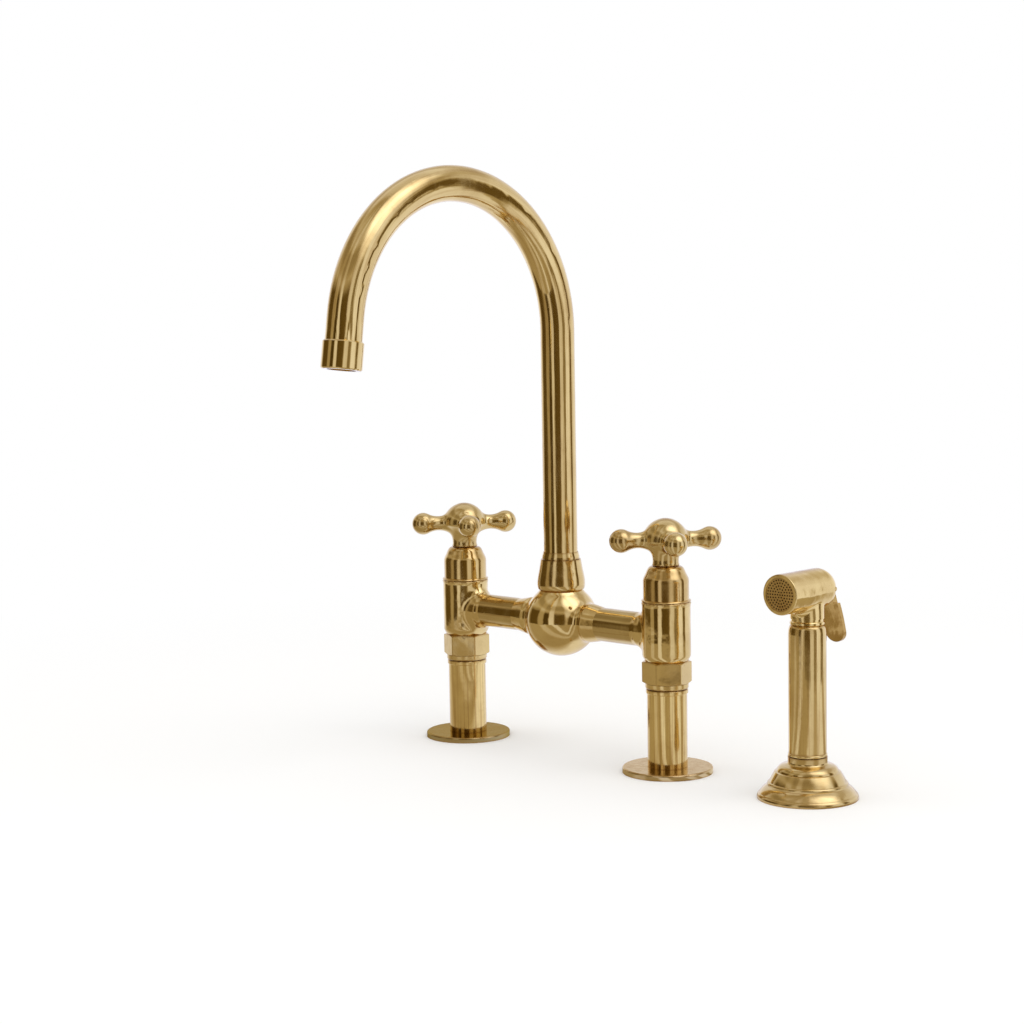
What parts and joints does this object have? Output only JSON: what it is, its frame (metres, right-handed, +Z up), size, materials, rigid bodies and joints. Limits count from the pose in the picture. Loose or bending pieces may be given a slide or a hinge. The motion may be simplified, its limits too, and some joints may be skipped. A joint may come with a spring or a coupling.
{
  "type": "bridge kitchen faucet",
  "caption": "Deck-mounted bridge faucet with a swivelling gooseneck spout, cross handles and a separate pull-out hand spray, in polished brass.",
  "frame": {"origin": "top of the worktop, midway between the two legs", "axes": "+Z up, +X along the bridge towards the hand spray, -Y towards the outlet and the user"},
  "size_m": [0.3951, 0.2651, 0.4981],
  "materials": {
    "polished_brass": "hand polished, unlacquered",
    "turned_brass": "as turned, threaded",
    "steel": "plain",
    "rubber": "moulded",
    "ceramic": "lapped",
    "nylon": "moulded"
  },
  "bodies": {
    "deck_fixed": {"bridge_ball": "polished_brass", "fixed_discs": "ceramic", "left_bonnet": "polished_brass", "left_bridge_tube": "polished_brass", "left_cartridge": "turned_brass", "left_deck_flange": "polished_brass", "left_leg": "polished_brass", "left_lock_nut": "turned_brass", "left_shank": "turned_brass", "left_tailpiece": "turned_brass", "left_union_nut": "polished_brass", "left_valve_body": "polished_brass", "leg_shank_washers": "rubber", "right_bonnet": "polished_brass", "right_bridge_tube": "polished_brass", "right_cartridge": "turned_brass", "right_deck_flange": "polished_brass", "right_leg": "polished_brass", "right_lock_nut": "turned_brass", "right_shank": "turned_brass", "right_tailpiece": "turned_brass", "right_union_nut": "polished_brass", "right_valve_body": "polished_brass", "seat_seals": "rubber", "spout_collar": "polished_brass", "spout_glide_rings": "nylon", "spray_base": "polished_brass", "spray_base_shank": "turned_brass", "spray_liner": "nylon", "spray_lock_nut": "turned_brass", "spray_shank_washer": "rubber", "union_washers": "rubber"},
    "spout": {"spout_tube": "polished_brass", "spout_foot": "turned_brass", "spout_seals": "rubber", "spout_bead_ring": "polished_brass", "aerator_housing": "polished_brass", "aerator_washer": "rubber", "aerator_insert": "nylon"},
    "left_handle": {"left_cross_handle": "polished_brass", "left_handle_screw": "steel", "left_valve_stem": "turned_brass", "left_stem_ring": "rubber", "left_moving_disc": "ceramic"},
    "right_handle": {"right_cross_handle": "polished_brass", "right_handle_screw": "steel", "right_valve_stem": "turned_brass", "right_stem_ring": "rubber", "right_moving_disc": "ceramic"},
    "spray_hose": {"spray_hose_connector": "turned_brass"},
    "sprayer": {"spray_ferrule": "polished_brass", "spray_grip": "polished_brass", "spray_head": "polished_brass", "spray_rose": "polished_brass", "spray_lever_pin": "polished_brass", "spray_valve_plug": "turned_brass", "spray_spring": "steel"},
    "trigger": {"spray_lever": "polished_brass"},
    "plunger": {"spray_plunger": "turned_brass", "spray_valve_washer": "rubber"}
  },
  "joints": [
    {"name": "spout_swivel", "type": "hinge", "parent": "deck_fixed", "child": "spout", "pos_m": [0, 0, 0.14], "axis": [0, 0, 1], "continuous": true},
    {"name": "left_handle_turn", "type": "hinge", "parent": "deck_fixed", "child": "left_handle", "pos_m": [-0.1016, 0, 0.15], "axis": [0, 0, 1], "range_deg": [0, 90]},
    {"name": "right_handle_turn", "type": "hinge", "parent": "deck_fixed", "child": "right_handle", "pos_m": [0.1016, 0, 0.15], "axis": [0, 0, 1], "range_deg": [-90, 0]},
    {"name": "spray_lift", "type": "slide", "parent": "deck_fixed", "child": "spray_hose", "axis": [0, 0, 1], "range_m": [0, 0.12]},
    {"name": "spray_turn", "type": "hinge", "parent": "spray_hose", "child": "sprayer", "pos_m": [0.2248, 0, 0.01], "axis": [0, 0, 1], "continuous": true},
    {"name": "trigger_press", "type": "hinge", "parent": "sprayer", "child": "trigger", "pos_m": [0.2248, 0.0145, 0.14295], "axis": [-1, 0, 0], "range_deg": [0, 12], "stiffness_Nm_per_rad": 0.8, "springref_deg": -11.46},
    {"name": "plunger_push", "type": "slide", "parent": "sprayer", "child": "plunger", "axis": [0, -1, 0], "range_m": [0, 0.0018], "deforming": ["spray_spring"]}
  ],
  "couplings": [
    {"joint": "plunger_push", "follows": "trigger_press", "m_per_rad": 0.0084}
  ]
}
